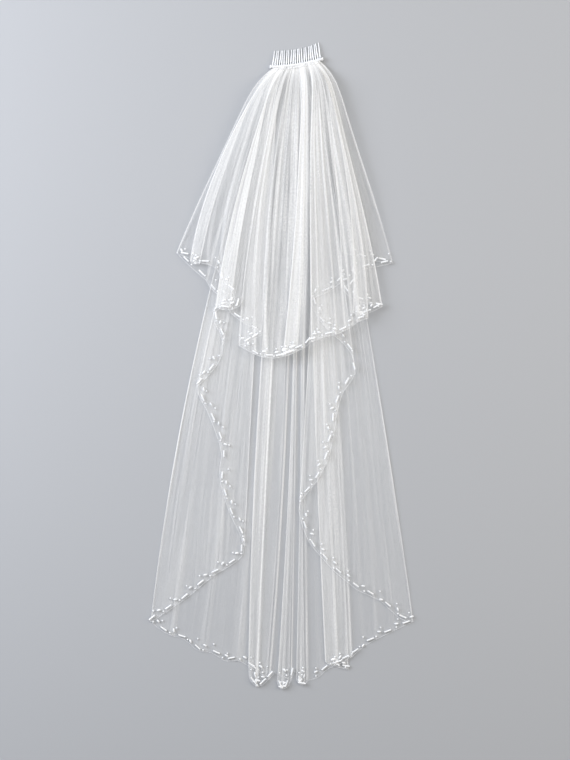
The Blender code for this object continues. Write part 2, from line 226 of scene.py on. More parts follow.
SHORT_TIER_FOLDS = (
    Fold("left_edge", -18.0, (-40, 220), (-66, 392), "soft", 5, 5, 0, 1.0,
         ((-70, 407), (-86, 413), (-100, 413))),
    Fold("left_strip_outer", -22.0, (-71, 215), (-110, 408), "left", 5, 4, 2.0, 4.0, ((-100, 413),)),
    Fold("left_strip_inner", -26.0, (-54, 215), (-85, 410), "right", 4, 3, 1.6, 1.4,
         ((-78, 396), (-85, 380), (-101, 368), (-104, 352), (-113, 342), (-133, 336))),
    Fold("left_wing_outer", -30.0, (-108, 180), (-153, 333), "left", 3, 2, 1.4, 2.6, ((-146, 337),)),
    Fold("left_wing_inner", -34.5, (-96, 190), (-136, 337), "right", 2, 1, 1.0, 0.4, ((-157, 326),)),
    Fold("left_outline", -40.0, (-123, 202), (-176, 318), "left", 1, 0, 0.7, 0.45, ((-156, 338),)),
    Fold("left_wing_crease", -34.0, (-81, 205), (-125, 365), "soft", 0, 0, 0.8, 0.7,
         ((-119, 377), (-104, 391))),
    Fold("left_hem_step", -26.0, None, (-83, 421), "soft", 0, 0, 0, 1.4, ((-68, 432), (-52, 442))),
    Fold("centre_1_under", -19.5, (-20, 240), (-33, 455), "right", 0, 1, 0.4, 1.4, ((-54, 466),)),
    Fold("centre_1_top", -15.5, (-46, 240), (-72, 473), "left", 1, 2, 1.3, 1.8, ((-57, 481),)),
    Fold("centre_1_ridge", -12.0, (-36, 240), (-44, 488), "soft", 2, 2, 1.2, 1.7,
         ((-26, 493), (-4, 493), (12, 486))),
    Fold("centre_2_under", 5.0, (37, 270), (25, 482), "right", 2, 3, 1.0, 1.2, ((14, 488),)),
    Fold("centre_2_top", 7.5, (21, 280), (1, 491), "left", 3, 4, 1.8, 1.8, ((14, 487),)),
    Fold("centre_2_ridge", 12.0, (42, 240), (37, 477), "soft", 4, 4, 0.5, 0.35, ((49, 466), (62, 460))),
    Fold("centre_3_under", 18.0, (60, 240), (77, 455), "right", 4, 5, 0.4, 0.8, ((62, 462),)),
    Fold("centre_3_top", 20.5, (46, 240), (48, 467), "left", 5, 6, 1.3, 1.3, ((62, 460), (84, 456))),
    Fold("right_crease", 26.0, (84, 240), (105, 448), "soft", 6, 6, 0.6, 1.3, ((116, 441), (130, 432))),
    Fold("right_fold_low", 29.5, (124, 245), (143, 428), "right", 6, 4, 1.2, 0.9, ((131, 425),)),
    Fold("right_turn_low", 31.8, (113, 250), (117, 418), "left", 4, 3, 1.3, 0.9, ((133, 421), (150, 416))),
    Fold("right_fold_side", 35.5, (133, 240), (167, 408), "right", 3, 2, 1.6, 1.1,
         ((150, 405), (131, 400), (113, 393))),
    Fold("right_turn_side", 33.0, (92, 228), (98, 377), "left", 2, 1, 1.2, 0.45,
         ((108, 372), (119, 370), (124, 360), (128, 350), (139, 345), (160, 341))),
    Fold("right_outline", 40.0, (144, 202), (185, 335), "right", 1, 0, 0.7, 0.45, ((150, 331),)),
    Fold("right_edge", 34.5, (86, 200), (100, 318), "soft", 0, 0, 0, 1.0, ()),
)
print("fold lines:", len(LONG_TIER_FOLDS), "and", len(SHORT_TIER_FOLDS))

# %% [markdown]
# The comb is a little tilted and its line sags in the middle, and every fold line starts under its binding.
# Each line is a parabola through its three points, which is how a gathered fold falls: close to the comb's
# width at first, and then spreading. Just below the comb the short tier's gathers also swell out like a
# shoulder, the outer lines most, so its lines get a small bulge that dies out further down.

# %% The comb's line and the fold lines
COMB_ACROSS = 24.0
COMB_ALONG = 504.0
DOWN_FROM = 506.7
COMB_TILT = math.radians(8.5)
COMB_HALF = 41.0
COMB_BOW = 3.0
BINDING_RADIUS = 2.2
SEAM_GAP = 0.3
SHOULDER = 11.0
SHOULDER_DEPTH = 40.0


def comb_point(place):
    """(across, along) on the comb's line, place mm right of its middle."""
    bow = COMB_BOW * (1 - (place / COMB_HALF) ** 2)
    across = COMB_ACROSS + place * math.cos(COMB_TILT)
    return across, COMB_ALONG + place * math.sin(COMB_TILT) - bow


def mix(first, second, share):
    return tuple(a + (b - a) * share for a, b in zip(first, second))


def line_point(fold, share):
    """(across, along) on a fold line, at a share of its length."""
    start = comb_point(fold.comb)
    start = (start[0], start[1] - BINDING_RADIUS - SEAM_GAP)
    end = (fold.end[0], DOWN_FROM - fold.end[1])
    if fold.mid is None:
        across, along = mix(start, end, share)
    else:
        mid = (fold.mid[0], DOWN_FROM - fold.mid[1])
        knot = (mid[1] - start[1]) / (end[1] - start[1])
        at_start = (share - knot) * (share - 1) / knot
        at_mid = share * (share - 1) / (knot * (knot - 1))
        at_end = share * (share - knot) / (1 - knot)
        across, along = (at_start * a + at_mid * b + at_end * c for a, b, c in zip(start, mid, end))
    depth = (start[1] - along) / SHOULDER_DEPTH
    return across + fold.shoulder * fold.comb / COMB_HALF * depth * math.exp(1 - depth), along


def line_side(fold, share):
    """The level direction square to a fold line, towards the right."""
    ahead = line_point(fold, min(share + 0.01, 1.0))
    behind = line_point(fold, max(share - 0.01, 0.0))
    along = (ahead[0] - behind[0], ahead[1] - behind[1])
    length = math.hypot(*along)
    return -along[1] / length, along[0] / length


lengths = [line_point(fold, 0)[1] - line_point(fold, 1)[1] for fold in LONG_TIER_FOLDS]
print("fold lines of the long tier:", round(min(lengths)), "to", round(max(lengths)), "mm")

# %% [markdown]
# The layers lie 1.5 mm apart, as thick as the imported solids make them, and under the comb they are pressed
# together. The short tier lies on the back of the long one, so it is higher in the middle and comes down to
# the floor at both sides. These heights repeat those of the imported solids, so the thin cloth lies in them.

# %% Heights of the layers
LAYER_STEP = 1.5
FLOOR_LAYER = 0.5
GATHER_DEPTH = 40.0
LONG_GATHER_HEIGHTS = (0.8, 1.9, 2.1, 2.3, 2.5, 2.7, 3.8)
SHORT_GATHER_HEIGHTS = (5.1, 6.2, 7.3, 8.4, 8.6, 8.8, 9.0)
SHORT_TIER_CROWN = 15.5
SHORT_TIER_HALF_WIDTH = 184.0
SHORT_TIER_MIDDLE = 5.0


def smooth_step(value):
    """A soft ramp from 0 to 1."""
    value = np.clip(value, 0.0, 1.0)
    return value * value * (3 - 2 * value)


def below_comb(across, along):
    """How far places lie below the gathering line."""
    place = np.clip((across - COMB_ACROSS) / math.cos(COMB_TILT), -COMB_HALF, COMB_HALF)
    bow = COMB_BOW * (1 - (place / COMB_HALF) ** 2)
    line = COMB_ALONG + place * math.sin(COMB_TILT) - bow
    return line - BINDING_RADIUS - SEAM_GAP - along


def layer_heights(laid, gathers, layer, across, along):
    """Pressed together at the comb, opening to the laid heights."""
    gathered = np.interp(layer, range(len(gathers)), gathers)
    return gathered + (laid - gathered) * smooth_step(below_comb(across, along) / GATHER_DEPTH)


def long_tier_height(layer, across, along):
    return layer_heights(FLOOR_LAYER + LAYER_STEP * layer, LONG_GATHER_HEIGHTS, layer, across, along)


def short_tier_height(layer, across, along):
    aside = np.minimum(np.abs(across - SHORT_TIER_MIDDLE) / SHORT_TIER_HALF_WIDTH, 1.0)
    laid = FLOOR_LAYER + SHORT_TIER_CROWN * (1 - aside**2) + LAYER_STEP * layer
    return layer_heights(laid, SHORT_GATHER_HEIGHTS, layer, across, along)


print("layers open over", GATHER_DEPTH, "mm below the comb")

# %% [markdown]
# A turned fold is half a circle from one layer to the next, in seven points. Where two lines haven't
# crossed yet, the cloth between them only slopes, so the circle flattens out there. The cut edge is a
# smooth curve through the points of the `hem` column, and its waves die out up the cloth.

# %% Rows and columns of the sheet
TURN_ANGLES = (-90, -60, -30, 0, 30, 60, 90)
SLOPE_START = 0.25
OVERLAP_RADII = 3.0
COLUMN_STEP = 2.8
HEM_WAVE_POWER = 2.5
GATHER_ROWS = (-1.5, 2, 5, 8.5, 12, 16, 21, 26.5, 33, 40, 49, 62, 85)
HEM_ROWS = (20.0, 13.0, 8.0, 4.0, 1.5, 0.0)
Tier = namedtuple("Tier", "name folds grid run panel cloth lines")


def hem_curve(points, count):
    """Points at equal steps on a smooth curve through the given ones."""
    points = np.array([points[0], *points, points[-1]], float)
    fine = []
    for a, b, c, d in zip(points, points[1:], points[2:], points[3:]):
        for t in np.linspace(0, 1, 12, endpoint=False):
            fine.append(
                b + 0.5 * t * (c - a + t * (2 * a - 5 * b + 4 * c - d + t * (3 * (b - c) + d - a)))
            )
    fine = np.array([*fine, points[-1]])
    run = np.concatenate([[0], np.cumsum(np.hypot(*np.diff(fine, axis=0).T))])
    at = np.linspace(0, run[-1], count)
    return np.stack([np.interp(at, run, fine[:, k]) for k in (0, 1)], axis=1), run[-1]


def hem_panels(folds):
    """For each panel: how far its columns' ends lie off the straight hem, and the hem's length."""
    panels = []
    for fold, following in zip(folds, folds[1:]):
        points = [(a, DOWN_FROM - d) for a, d in (fold.end, *fold.hem, following.end)]
        length = hem_curve(points, 2)[1]
        columns = max(2, math.ceil(length / COLUMN_STEP))
        curve = hem_curve(points, columns + 2)[0]
        parts = np.linspace(0, 1, columns + 2)[:, None]
        straight = curve[0] + (curve[-1] - curve[0]) * parts
        panels.append(((curve - straight)[1:-1], parts[1:-1], length))
    return panels


def round_fold(fold, share, before, after, angle):
    """A point round a turned fold, or on the slope that stands for it near the comb."""
    middle = (fold.under + fold.over) / 2
    half = (fold.over - fold.under) / 2
    top = (*line_point(fold, share), middle)
    closes = 1 if fold.turn == "right" else -1
    side = line_side(fold, share)
    radius = LAYER_STEP * abs(half)
    there = before if angle < 0 else after
    in_from = closes * radius * (1 - math.cos(math.radians(angle)))
    level = middle + half * math.sin(math.radians(angle))
    flat = (top[0] - side[0] * in_from, top[1] - side[1] * in_from, level)
    slope = mix(top, there, SLOPE_START * abs(angle) / 90)
    overlap = closes * ((top[0] - there[0]) * side[0] + (top[1] - there[1]) * side[1])
    return mix(slope, flat, float(smooth_step(overlap / (OVERLAP_RADII * radius))))


def tier_row(folds, panels, depth, skirt):
    """The cloth's middle line across the tier, as (across, along, layer) rows."""
    shares = []
    for fold in folds:
        length = line_point(fold, 0)[1] - line_point(fold, 1)[1]
        shares.append((depth + skirt * (length - depth)) / length)
    tops = [(*line_point(f, s), (f.under + f.over) / 2) for f, s in zip(folds, shares)]
    row = []
    for index, fold in enumerate(folds):
        before = tops[max(index - 1, 0)]
        after = tops[min(index + 1, len(folds) - 1)]
        if fold.turn == "soft":
            row.append(tops[index])
        else:
            row += [round_fold(fold, shares[index], before, after, angle) for angle in TURN_ANGLES]
        if index == len(folds) - 1:
            break
        following = folds[index + 1]
        start = np.array(row[-1])
        end = np.array(tops[index + 1])
        if following.turn != "soft":
            beyond = tops[min(index + 2, len(folds) - 1)]
            end = np.array(round_fold(following, shares[index + 1], tops[index], beyond, -90))
        off_line, parts, _ = panels[index]
        inner = start + (end - start) * parts
        inner[:, :2] += off_line * skirt**HEM_WAVE_POWER
        row += list(inner)
    return np.array(row)


print("a turned fold has", len(TURN_ANGLES), "points, and a panel one every", COLUMN_STEP, "mm of hem")

# %% [markdown]
# Gathered tulle is full of small radiating ridges: each stitch of the gathering thread starts one, and they
# die out on the way down at different lengths. They are drawn from a seeded generator, so they are uneven
# but the same each time, and the few large ones that the eye finds first are listed in a table.
# `part` is the crease's place across its panel, `start` and `end` are shares of the way down, `width` and
# `lift` are in millimetres, and `thread` is the cloth that a sharp crease holds beside that.

# %% Gathers and creases
Crease = namedtuple("Crease", "panel part start end width lift thread", defaults=(0.0,))
LONG_TIER_CREASES = (
    Crease("left_wave_side", 0.42, 0.40, 1.00, 7, 1.3),
    Crease("left_wave_side", 0.72, 0.30, 0.95, 9, -0.6),
    Crease("left_wave_point", 0.30, 0.35, 1.00, 12, 0.7),
    Crease("left_wave_point", 0.62, 0.25, 0.90, 16, -0.5),
    Crease("left_wave_point", 0.85, 0.30, 1.00, 9, 0.6),
    Crease("left_outline", 0.55, 0.60, 1.00, 7, 1.2, 1.0),
    Crease("left_hem_ripple", 0.45, 0.55, 1.00, 6, 1.0, 1.0),
    Crease("left_hem_step", 0.35, 0.50, 1.00, 6, 1.1, 1.4),
    Crease("left_hem_step", 0.75, 0.30, 1.00, 4, 0.6, 1.2),
    Crease("valley_3", 0.25, 0.60, 1.00, 4, 0.7, 1.6),
    Crease("valley_3", 0.55, 0.50, 1.00, 7, 0.9, 0.8),
    Crease("pleat_4_top", 0.45, 0.40, 1.00, 3, 0.6, 0.8),
    Crease("right_hem_step", 0.30, 0.40, 1.00, 8, 0.9),
    Crease("right_hem_step", 0.62, 0.35, 0.90, 5, 0.5, 0.6),
    Crease("right_flap_crest", 0.40, 0.30, 1.00, 9, 0.9),
    Crease("right_flap_crest", 0.75, 0.20, 1.00, 7, 0.8),
    Crease("right_wave_point", 0.35, 0.30, 1.00, 9, 0.8),
    Crease("right_wave_point", 0.70, 0.25, 1.00, 7, 0.8),
    Crease("right_wave_side", 0.50, 0.30, 1.00, 7, 0.8),
)
SHORT_TIER_CREASES = (
    Crease("left_hem_step", 0.50, 0.25, 1.00, 6, 0.8),
    Crease("left_strip_inner", 0.45, 0.30, 1.00, 6, 0.9),
    Crease("centre_1_ridge", 0.22, 0.05, 1.00, 3, 1.1, 2.2),
    Crease("centre_1_ridge", 0.36, 0.05, 0.70, 2, 0.6, 1.6),
    Crease("centre_1_ridge", 0.55, 0.05, 1.00, 5, 0.7, 0.8),
    Crease("centre_1_ridge", 0.68, 0.05, 0.80, 2, 0.7, 2.0),
    Crease("centre_1_ridge", 0.80, 0.05, 1.00, 4, 1.0, 1.6),
    Crease("centre_2_top", 0.55, 0.05, 0.85, 3, 0.8, 1.4),
    Crease("centre_3_top", 0.20, 0.05, 0.85, 2, 0.7, 2.4),
    Crease("centre_3_top", 0.48, 0.05, 1.00, 5, 0.6, 0.6),
    Crease("centre_3_top", 0.75, 0.05, 1.00, 3, 1.2, 1.4),
    Crease("right_crease", 0.30, 0.05, 0.90, 2, 0.6, 1.8),
    Crease("right_crease", 0.62, 0.10, 1.00, 4, 1.1, 1.0),
    Crease("right_outline", 0.28, 0.20, 1.00, 2, 0.5, 2.2),
    Crease("right_turn_side", 0.60, 0.30, 1.00, 5, 0.9, 0.8),
    Crease("right_turn_side", 0.85, 0.25, 1.00, 3, 0.9, 1.0),
)
GATHER_SPACING = 13.0
GATHER_HEIGHT = 0.42
GATHER_WIDTHS = (2.5, 8.0)
GATHER_REACH = (0.25, 1.15)
GATHER_FADE = 0.25
GATHER_START = 6.0
CREASE_RISE = 0.2
CREASE_FALL = 0.1


def relief(run, panel, folds, creases, depth_share, seed):
    """Height of gathers and creases over the sheet, mm, and how much thread they gather."""
    lift = np.zeros_like(depth_share)
    thread = np.zeros_like(depth_share)
    draw = np.random.default_rng(seed)
    for _ in range(int(run[-1] / GATHER_SPACING)):
        middle, width = draw.uniform(0, run[-1]), draw.uniform(*GATHER_WIDTHS)
        height, reach = draw.uniform(-1, 1) * GATHER_HEIGHT, draw.uniform(*GATHER_REACH)
        drift = draw.uniform(-6, 6)
        profile = np.exp(-(((run[None, :] + drift * depth_share - middle) / width) ** 2))
        fading = 1 - smooth_step((depth_share - reach) / GATHER_FADE + 1)
        lift += height * profile * fading
        thread += abs(height) / GATHER_HEIGHT * profile * fading
    names = [fold.name for fold in folds]
    for crease in creases:
        columns = np.flatnonzero(panel == names.index(crease.panel))
        first, last = run[columns[0]], run[columns[-1]]
        middle = first + crease.part * (last - first)
        profile = np.exp(-(((run[None, :] - middle) / crease.width) ** 2))
        on = smooth_step((depth_share - crease.start) / CREASE_RISE)
        on = on * (1 - smooth_step((depth_share - crease.end) / CREASE_FALL))
        lift += crease.lift * profile * on
        thread += (abs(crease.lift) + crease.thread) * profile * on
    return lift, thread


print("creases by hand:",len(LONG_TIER_CREASES) + len(SHORT_TIER_CREASES))

# %% [markdown]
# The sheet starts as a plain grid, with a row for each section and a column for each run down the cloth,
# and every point of it is then moved to its place. The grid's own UV map is set to real millimetres of
# cloth, so that the net and the streaks follow the cloth round every fold. Last, Solidify gives the sheet
# its thickness, and is applied.
#
# Tulle looks whiter where more thread lies in the way: where the sheet is gathered narrow, where it stands
# steep, and in a band along each fold line. The sheet's own shape and its table give that amount, and an
# attribute named thread hands it to the material.

# %% Build a tier
NET_THICKNESS = 0.2
LOWEST_CLOTH = 0.15
SMOOTH_THREAD = 0.75
THREAD_POWER = 0.58
MOST_THREAD = 7.0
STEEPEST = 0.4
LINE_THREAD = 5.0
LINE_WIDTH = 2.0
GATHER_THREAD = 0.9
COMB_THREAD = 9.0
COMB_THREAD_REACH = 9.0


def shape_tier(name, folds, creases, height_of, skirt_rows, seed):
    """All points of one tier in millimetres, with what the later cells need to know of it."""
    panels = hem_panels(folds)
    longest = max(line_point(f, 0)[1] - line_point(f, 1)[1] for f in folds) - GATHER_ROWS[-1]
    skirt = [k / skirt_rows for k in range(1, skirt_rows)]
    skirt += [1 - rest / longest for rest in HEM_ROWS]
    cuts = [(depth, 0.0) for depth in GATHER_ROWS] + [(GATHER_ROWS[-1], s) for s in sorted(skirt)]
    rows = np.array([tier_row(folds, panels, depth, share) for depth, share in cuts])
    panel, run, cloth, lines, reached = [], [], [], [], 0.0
    for index, fold in enumerate(folds):
        turns = 1 if fold.turn == "soft" else len(TURN_ANGLES)
        arc = math.pi * LAYER_STEP * abs(fold.over - fold.under) / 2
        lines.append((len(run) + turns // 2, fold.line))
        for turn in range(turns):
            reached += arc / (turns - 1) if turn else 0.0
            panel.append(-1)
            cloth.append((folds[max(index - 1, 0)].cloth + fold.cloth) / 2)
            run.append(reached)
        if index < len(panels):
            columns = len(panels[index][1])
            step = panels[index][2] / (columns + 1)
            for column in range(columns):
                panel.append(index)
                cloth.append(fold.cloth)
                run.append(reached + step * (column + 1))
            reached += panels[index][2]
    run, panel, cloth = np.array(run), np.array(panel), np.array(cloth)
    across, along, layer = rows[..., 0], rows[..., 1], rows[..., 2]
    below = below_comb(across, along)
    depth_share = np.clip(below / (longest + GATHER_ROWS[-1]), 0, 1)
    lift, gathered = relief(run, panel, folds, creases, depth_share, seed)
    lift *= smooth_step(below / GATHER_START)
    height = np.maximum(height_of(layer, across, along) + lift, LOWEST_CLOTH)
    grid = np.stack([across, along, height], axis=-1)
    return Tier(name, folds, grid, run, panel, cloth, lines), gathered


def thread_amount(tier, gathered):
    """How much thread lies over each point, against a single flat sheet of net."""
    grid, run = tier.grid, tier.run
    across_cloth = np.gradient(grid, axis=1)
    run_step = np.maximum(np.gradient(run), 0.2)
    spread = np.linalg.norm(across_cloth, axis=2) / run_step
    normal = np.cross(across_cloth, np.gradient(grid, axis=0))
    upright = np.abs(normal[..., 2]) / np.maximum(np.linalg.norm(normal, axis=2), 1e-9)
    amount = np.clip(np.maximum(spread, 0.05) ** -THREAD_POWER, 1.0, MOST_THREAD)
    amount /= np.clip(upright, STEEPEST, 1.0)
    amount *= tier.cloth[None, :] * (SMOOTH_THREAD + GATHER_THREAD * gathered)
    steps = np.linalg.norm(np.diff(grid, axis=1), axis=2)
    reach = np.concatenate([np.zeros((len(grid), 1)), np.cumsum(steps, axis=1)], axis=1)
    for column, brightness in tier.lines:
        away = (reach - reach[:, [column]]) / LINE_WIDTH
        amount += LINE_THREAD * brightness * np.exp(-(away**2))
    below = below_comb(grid[..., 0], grid[..., 1])
    amount += COMB_THREAD * np.exp(-np.maximum(below, 0) / COMB_THREAD_REACH)
    return np.clip(amount, 0.3, 4 * MOST_THREAD)


def build_tier(tier, thread, material):
    """The grid, moved to its shape, with its UV map, its attribute and its thickness."""
    rows, columns = tier.grid.shape[:2]
    deselect()
    bpy.ops.mesh.primitive_grid_add(x_subdivisions=columns - 1, y_subdivisions=rows - 1)
    piece = bpy.context.object
    piece.name = tier.name
    mesh = piece.data
    mesh.vertices.foreach_set("co", (tier.grid[::-1] * MM).reshape(-1))
    amount = mesh.attributes.new("thread", "FLOAT", "POINT")
    amount.data.foreach_set("value", thread[::-1].reshape(-1).astype(np.float32))
    steps = np.linalg.norm(np.diff(tier.grid, axis=0), axis=2)
    down = np.concatenate([np.zeros((1, columns)), np.cumsum(steps, axis=0)])
    across = np.broadcast_to(tier.run, down.shape)
    cloth = np.stack([across, down], axis=-1)[::-1].reshape(-1, 2) * MM
    corners = np.empty(len(mesh.loops), np.int32)
    mesh.loops.foreach_get("vertex_index", corners)
    mesh.uv_layers[0].name = "cloth_metres"
    mesh.uv_layers[0].data.foreach_set("uv", cloth[corners].reshape(-1))
    mesh.materials.append(material)
    mesh.shade_smooth()
    wall = piece.modifiers.new("net thickness", "SOLIDIFY")
    wall.thickness = NET_THICKNESS * MM
    wall.offset = 0.0
    bpy.ops.object.modifier_apply(modifier=wall.name)
    print(piece.name, len(piece.data.polygons), "faces")
    return piece


# %% [markdown]
# ## Tulle
#
# Tulle is a net of fine nylon thread, here with holes about 1.3 mm wide. From a step away the holes are
# too small to see, and the net reads as a milky film: mostly clear, whiter wherever cloth lies on cloth.
# So the material is a matt white with little cover. The cover of one wall of the shell is small, and a
# power of the thread attribute adds up as stacked sheets do. Three noises vary the thread: broad streaks
# and fine ones, both stretched down the cloth as its gathers are, and a speckle for the net's own holes.
# The speckle is drawn at 3.4 mm, coarser than the real net, because finer than that wouldn't show.

# %% The tulle material
SINGLE_COVER = 0.15
Weave = namedtuple("Weave", "width length detail least most")
WEAVES = (
    Weave(130.0, 900.0, 6.0, 0.2, 1.9),
    Weave(6.0, 280.0, 1.0, 0.4, 1.6),
    Weave(3.4, 3.4, 0.0, 0.86, 1.14),
)

tulle, tulle_shader = new_material("nylon_tulle", Base_Color=linear("#FBFBFA"), Roughness=0.62)
tulle_shader.inputs["Sheen Weight"].default_value = 0.15
tulle_shader.inputs["Sheen Roughness"].default_value = 0.4
cloth_place = add_node(tulle, "ShaderNodeUVMap", uv_map="cloth_metres").outputs["UV"]
thread_here = add_node(tulle, "ShaderNodeAttribute", attribute_name="thread", attribute_type="GEOMETRY")
thread_total = thread_here.outputs["Fac"]
for weave in WEAVES:
    stretched = add_node(
        tulle,
        "ShaderNodeMapping",
        values={"Scale": (1000 / weave.width, 1000 / weave.length, 1.0)},
        links={"Vector": cloth_place},
    )
    noise = add_node(
        tulle,
        "ShaderNodeTexNoise",
        values={"Scale": 1.0, "Detail": weave.detail, "Roughness": 0.78},
        links={"Vector": stretched.outputs["Vector"]},
        noise_dimensions="2D",
    )
    amount = add_node(
        tulle,
        "ShaderNodeMapRange",
        values={"From Min": 0.25, "From Max": 0.75, "To Min": weave.least, "To Max": weave.most},
        links={"Value": noise.outputs["Fac"]},
    )
    thread_total = add_node(
        tulle,
        "ShaderNodeMath",
        links={0: thread_total, 1: amount.outputs["Result"]},
        operation="MULTIPLY",
    ).outputs["Value"]
clear = add_node(
    tulle,
    "ShaderNodeMath",
    values={0: math.sqrt(1 - SINGLE_COVER)},
    links={1: thread_total},
    operation="POWER",
)
cover = add_node(
    tulle, "ShaderNodeMath", values={0: 1.0}, links={1: clear.outputs["Value"]}, operation="SUBTRACT"
)
tulle.node_tree.links.new(cover.outputs["Value"], tulle_shader.inputs["Alpha"])
print("cover of one sheet of tulle:", SINGLE_COVER)

# %% [markdown]
# The long tier's gathers spread wider under the short tier than its few drawn layers do, so less of its
# thread shows through there, and the gaps between the short tier's pleats stay open. Below the short hem
# it has its whole thread again.

# %% The two tiers
HIDDEN_THREAD = 0.45
HIDDEN_DEPTH = 330.0
HIDDEN_FADE = 130.0

long_shape, long_gathered = shape_tier(
    "tulle_long_tier", LONG_TIER_FOLDS, LONG_TIER_CREASES, long_tier_height, 28, seed=3
)
swollen_folds = [fold._replace(shoulder=SHOULDER) for fold in SHORT_TIER_FOLDS]
short_shape, short_gathered = shape_tier(
    "tulle_short_tier", swollen_folds, SHORT_TIER_CREASES, short_tier_height, 26, seed=8
)
below = below_comb(long_shape.grid[..., 0], long_shape.grid[..., 1])
open_again = smooth_step((below - HIDDEN_DEPTH) / HIDDEN_FADE)
long_thread = thread_amount(long_shape, long_gathered) * (HIDDEN_THREAD + (1 - HIDDEN_THREAD) * open_again)
long_tier = build_tier(long_shape, long_thread, tulle)
short_tier = build_tier(short_shape, thread_amount(short_shape, short_gathered), tulle)
for piece, node in ((long_tier, "long_tier"), (short_tier, "short_tier")):
    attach(piece, "root")
    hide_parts(node)
print("hems:", round(long_shape.run[-1]), "and", round(short_shape.run[-1]), "mm")

# %% [markdown]
# ## The sewn edge
#
# The cut edge of each sheet is overcast with a fine white thread, which keeps it from running and draws a
# thin line round the veil. It is a round thread, so it is a curve with a bevel along the last row of the
# sheet and up its two sides, turned into a mesh when it is done. The thread is spun polyester, twisted from
# fine strands, which gives a matt white with a faint slanting rib.

# %% White thread and the edge thread
EDGE_THREAD_RADIUS = 0.2
EDGE_THREAD_STEP = 3

sewing_thread, sewing_shader = new_material(
    "polyester_sewing_thread", Base_Color=linear("#FDFEFF"), Roughness=0.5
)
sewing_shader.inputs["Sheen Weight"].default_value = 0.3
twist = add_node(
    sewing_thread,
    "ShaderNodeTexWave",
    values={"Scale": 900.0, "Distortion": 2.0},
    links={"Vector": add_node(sewing_thread, "ShaderNodeTexCoord").outputs["Object"]},
    bands_direction="DIAGONAL",
)
twist_bump = add_node(
    sewing_thread,
    "ShaderNodeBump",
    values={"Strength": 0.35, "Distance": 0.0002},
    links={"Height": twist.outputs["Fac"]},
)
sewing_thread.node_tree.links.new(twist_bump.outputs["Normal"], sewing_shader.inputs["Normal"])


def thread_along(name, points, radius, material, sides=1):
    """A round thread or wire through points in millimetres, as a mesh with closed ends."""
    curve = bpy.data.curves.new(name, "CURVE")
    curve.dimensions = "3D"
    curve.bevel_depth = radius * MM
    curve.bevel_resolution = sides
    curve.use_fill_caps = True
    spline = curve.splines.new("POLY")
    spline.points.add(len(points) - 1)
    for spot, point in zip(spline.points, points):
        spot.co = (*(MM * float(value) for value in point), 1.0)
    piece = bpy.data.objects.new(name, curve)
    bpy.context.scene.collection.objects.link(piece)
    deselect()
    piece.select_set(True)
    bpy.context.view_layer.objects.active = piece
    bpy.ops.object.convert(target="MESH")
    piece = bpy.context.object
    piece.data.materials.clear()
    piece.data.materials.append(material)
    piece.data.shade_smooth()
    return piece


for tier, cloth in ((long_shape, long_tier), (short_shape, short_tier)):
    rim = [*tier.grid[:-1, 0], *tier.grid[-1, ::EDGE_THREAD_STEP], *tier.grid[:-1, -1][::-1]]
    thread = thread_along("edge_thread" + tier.name[5:], rim, EDGE_THREAD_RADIUS, sewing_thread)
    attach(thread, "root")
    print(thread.name, len(thread.data.polygons), "faces")

# %% [markdown]
# ## Beads
#
# Four beads repeat every 33 mm of edge: a bugle, which is a cut glass tube, close to the edge and in line
# with it, an oat bead a little further in, and two seed beads, one near the edge and one furthest in.
# Where the hem is bunched into a pleat, more of the edge is packed into the same place, and so are they.
# Each kind is modelled once. The bugle is a cylinder whose ends are inset and pushed in for the
# hole. The others are spheres, squeezed long or flat. All are pearl glass, which is moulded glass with a
# lustrous coat, and it gives the eye a white body under a small soft highlight.

# %% One bead of each kind
BUGLE_LENGTH = 12.0
BUGLE_RADIUS = 1.4
OAT_SIZE = (3.5, 1.7, 1.4)
SEED_SIZE = (1.6, 1.6, 1.3)

pearl_glass, pearl_shader = new_material(
    "pearl_glass", Base_Color=linear("#FFFFFF"), Roughness=0.25, IOR=1.5, Coat_Weight=0.5, Coat_Roughness=0.1
)
lustre = add_node(
    pearl_glass,
    "ShaderNodeTexNoise",
    values={"Scale": 260.0, "Detail": 2.0},
    links={"Vector": add_node(pearl_glass, "ShaderNodeTexCoord").outputs["Object"]},
)
lustre_colour = add_node(pearl_glass, "ShaderNodeValToRGB", links={"Fac": lustre.outputs["Fac"]})
lustre_colour.color_ramp.elements[0].position = 0.35
lustre_colour.color_ramp.elements[0].color = linear("#F6F8FA")
lustre_colour.color_ramp.elements[1].position = 0.65
lustre_colour.color_ramp.elements[1].color = linear("#FFFFFF")
pearl_glass.node_tree.links.new(lustre_colour.outputs["Color"], pearl_shader.inputs["Base Color"])


def finish_bead(name, size=(1, 1, 1)):
    """Names the bead just made, gives it its size and material, and takes it out of edit mode."""
    bead = bpy.context.object
    bead.name = name
    bead.scale = size
    bpy.ops.object.transform_apply(location=False, rotation=True, scale=True)
    bead.data.materials.append(pearl_glass)
    bpy.ops.object.shade_smooth_by_angle(angle=math.radians(50))
    return bead


